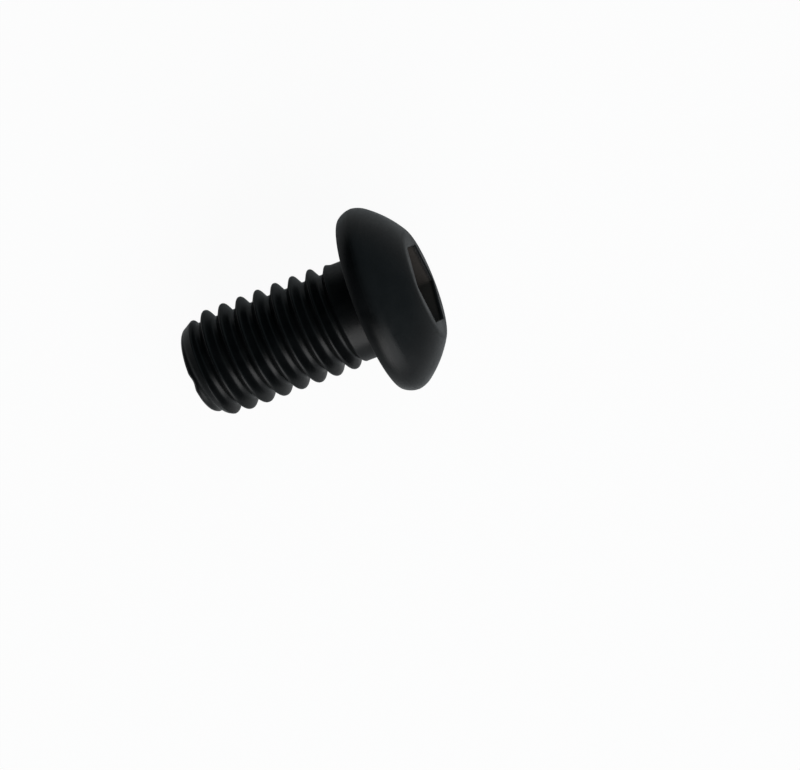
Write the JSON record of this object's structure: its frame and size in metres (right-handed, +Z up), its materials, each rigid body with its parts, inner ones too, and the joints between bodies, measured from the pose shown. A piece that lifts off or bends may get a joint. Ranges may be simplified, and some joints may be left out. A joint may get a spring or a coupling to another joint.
{
  "type": "button head socket screw",
  "caption": "Short metric machine screw with a low domed head, a hexagon socket and a thread up to a plain neck, in black-finished steel, lying on its side.",
  "frame": {"origin": "on the surface the screw lies on, under the middle of its box", "axes": "+X along the surface from the point towards the head, +Y across the screw, +Z up. The screw's own axis lies in the XZ plane and rises 12.7 degrees towards the head."},
  "size_m": [0.0138, 0.01, 0.0097],
  "materials": {
    "black_steel": "satin black oxide"
  },
  "bodies": {
    "root": {"screw": "black_steel"}
  },
  "joints": []
}
